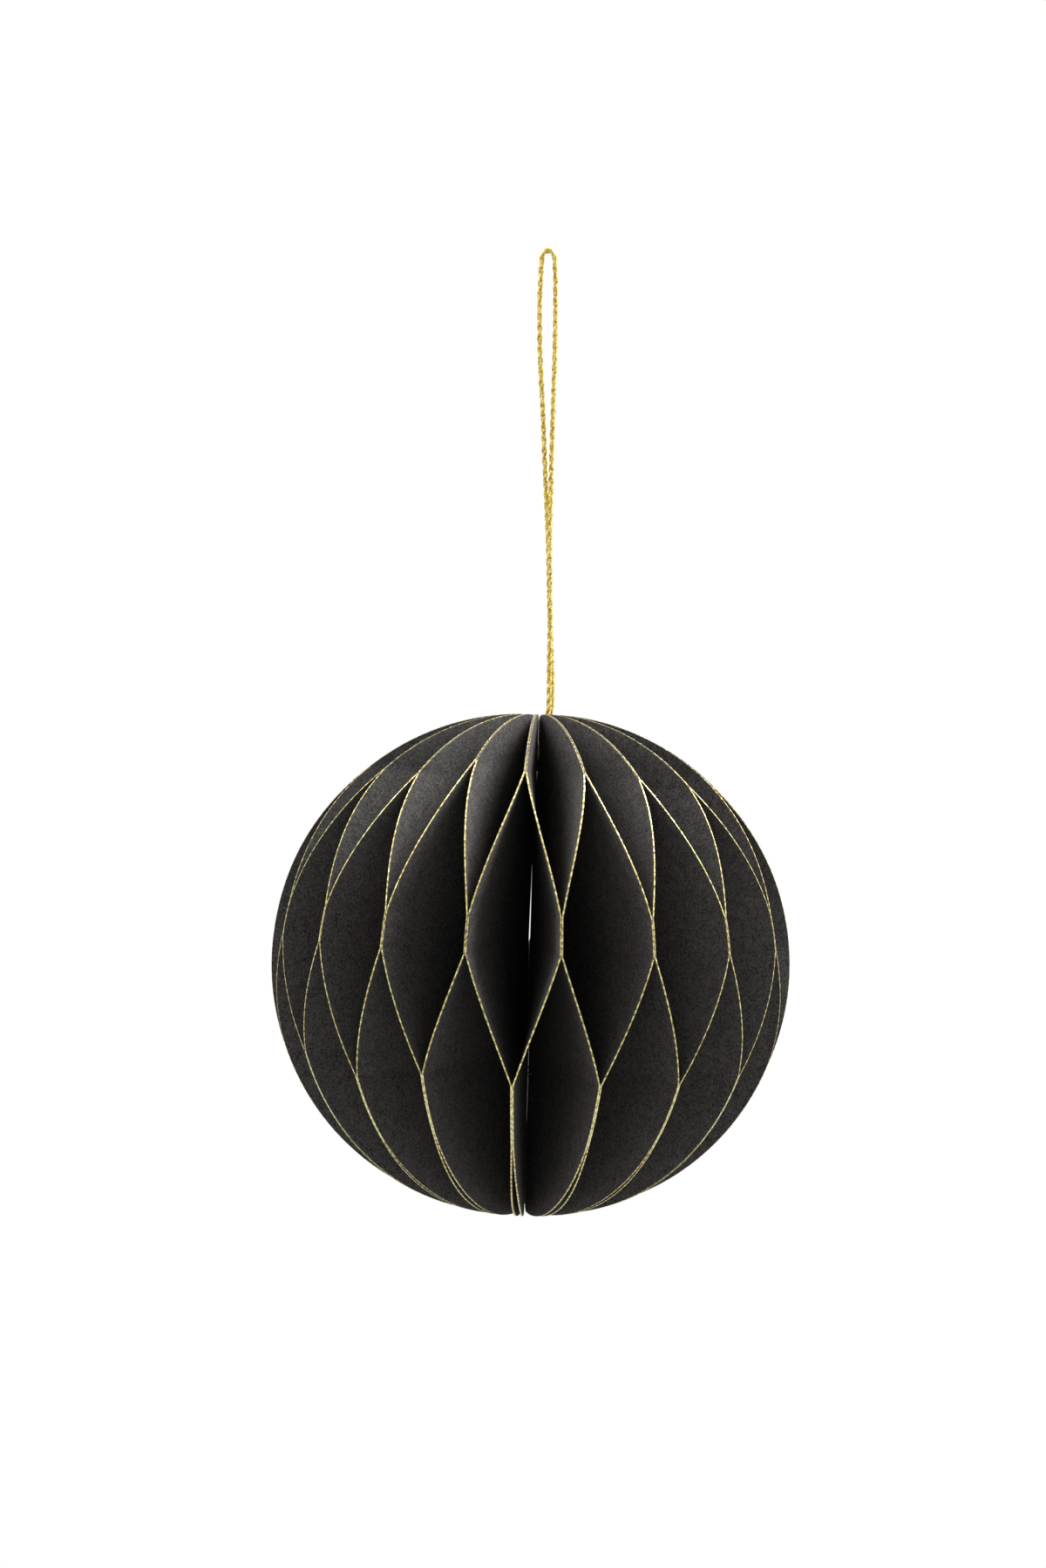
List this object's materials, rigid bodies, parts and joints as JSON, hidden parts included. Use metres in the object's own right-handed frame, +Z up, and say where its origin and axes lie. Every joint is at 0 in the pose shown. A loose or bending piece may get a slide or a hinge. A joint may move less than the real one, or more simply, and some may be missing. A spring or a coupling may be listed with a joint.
{
  "type": "honeycomb paper ball ornament",
  "caption": "Hanging ball of folded dark paper leaves glued into honeycomb cells round a hollow core, with gold edges and a gold cord loop.",
  "frame": {"origin": "centre of the paper ball's box, without the cord", "axes": "+Z up along the ball's axis to the hanging cord, -Y towards the front, where two cells show their full diamonds"},
  "size_m": [0.0832, 0.0831, 0.1553],
  "materials": {
    "charcoal_paper": "matt dyed card",
    "gold_edge": "gold glitter dusted on the curved cut edge of each leaf",
    "gold_cord": "twisted metallic yarn",
    "dark_thread": "waxed sewing thread"
  },
  "bodies": {
    "root": {"paper_leaf_01": "charcoal_paper", "paper_leaf_02": "charcoal_paper", "paper_leaf_03": "charcoal_paper", "paper_leaf_04": "charcoal_paper", "paper_leaf_05": "charcoal_paper", "paper_leaf_06": "charcoal_paper", "paper_leaf_07": "charcoal_paper", "paper_leaf_08": "charcoal_paper", "paper_leaf_09": "charcoal_paper", "paper_leaf_10": "charcoal_paper", "paper_leaf_11": "charcoal_paper", "paper_leaf_12": "charcoal_paper", "paper_leaf_13": "charcoal_paper", "paper_leaf_14": "charcoal_paper", "paper_leaf_15": "charcoal_paper", "paper_leaf_16": "charcoal_paper", "paper_leaf_17": "charcoal_paper", "paper_leaf_18": "charcoal_paper", "paper_leaf_19": "charcoal_paper", "paper_leaf_20": "charcoal_paper", "paper_leaf_21": "charcoal_paper", "paper_leaf_22": "charcoal_paper", "paper_leaf_23": "charcoal_paper", "paper_leaf_24": "charcoal_paper", "paper_leaf_25": "charcoal_paper", "paper_leaf_26": "charcoal_paper", "paper_leaf_27": "charcoal_paper", "paper_leaf_28": "charcoal_paper", "paper_leaf_29": "charcoal_paper", "paper_leaf_30": "charcoal_paper", "paper_leaf_31": "charcoal_paper", "paper_leaf_32": "charcoal_paper", "paper_leaf_33": "charcoal_paper", "paper_leaf_34": "charcoal_paper", "paper_leaf_35": "charcoal_paper", "paper_leaf_36": "charcoal_paper", "paper_leaf_37": "charcoal_paper", "paper_leaf_38": "charcoal_paper", "upper_binding_thread": "dark_thread", "lower_binding_thread": "dark_thread", "cord_knot": "gold_cord", "hanging_cord": "gold_cord"}
  },
  "joints": []
}
